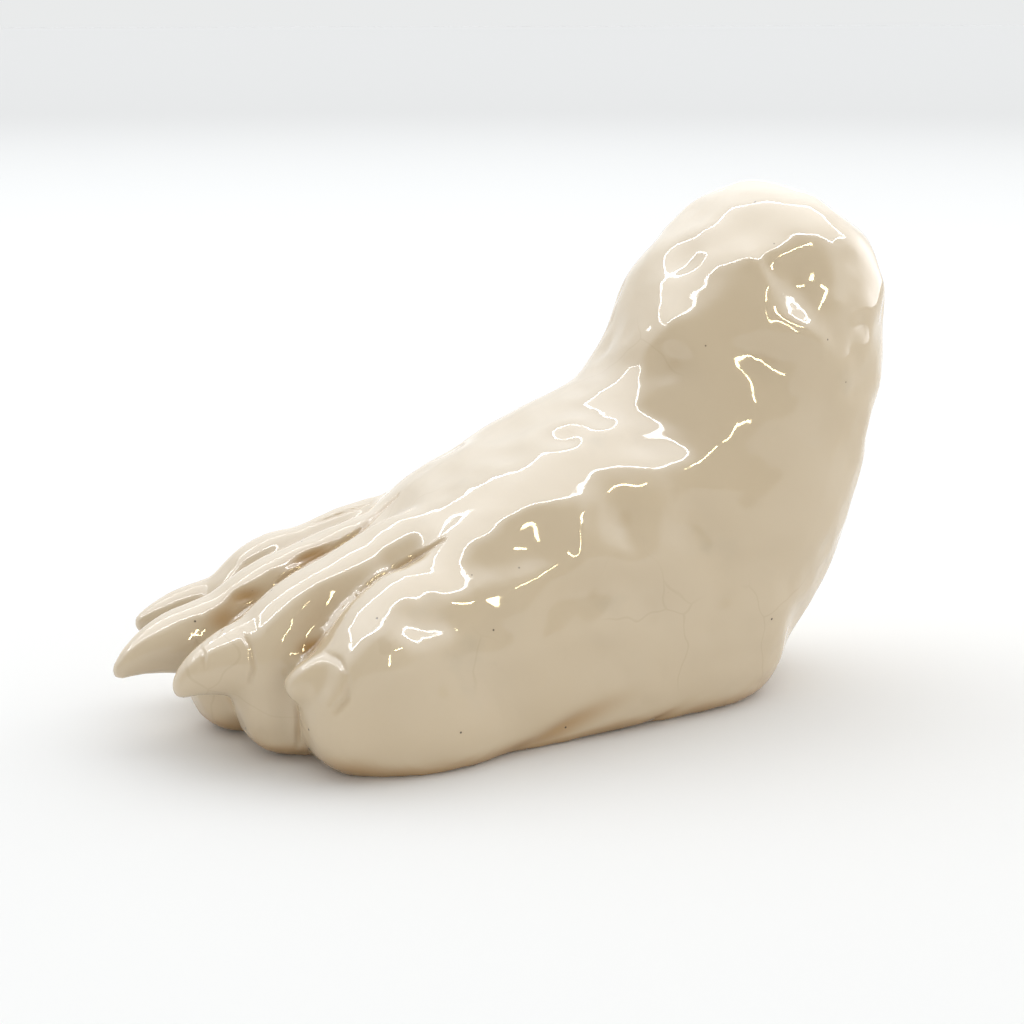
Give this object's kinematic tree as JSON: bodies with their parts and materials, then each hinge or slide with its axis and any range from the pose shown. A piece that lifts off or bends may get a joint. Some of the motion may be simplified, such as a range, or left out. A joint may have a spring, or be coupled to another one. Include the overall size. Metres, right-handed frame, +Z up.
{
  "type": "ceramic bear paw sculpture",
  "caption": "Glossy cream-glazed ceramic sculpture of a bear's paw with curved claws and a rounded leg stump, standing on a flat sole.",
  "frame": {"origin": "middle of the bounding box in plan, on the plane the sole rests on", "axes": "+X from the claws towards the heel, -Y towards the outer side of the foot that the picture shows, +Z up the leg"},
  "size_m": [0.2098, 0.0892, 0.1322],
  "materials": {
    "glaze": "glossy cream glaze with fine iron specks and darker pooling in the creases"
  },
  "bodies": {
    "root": {"paw": "glaze"}
  },
  "joints": []
}
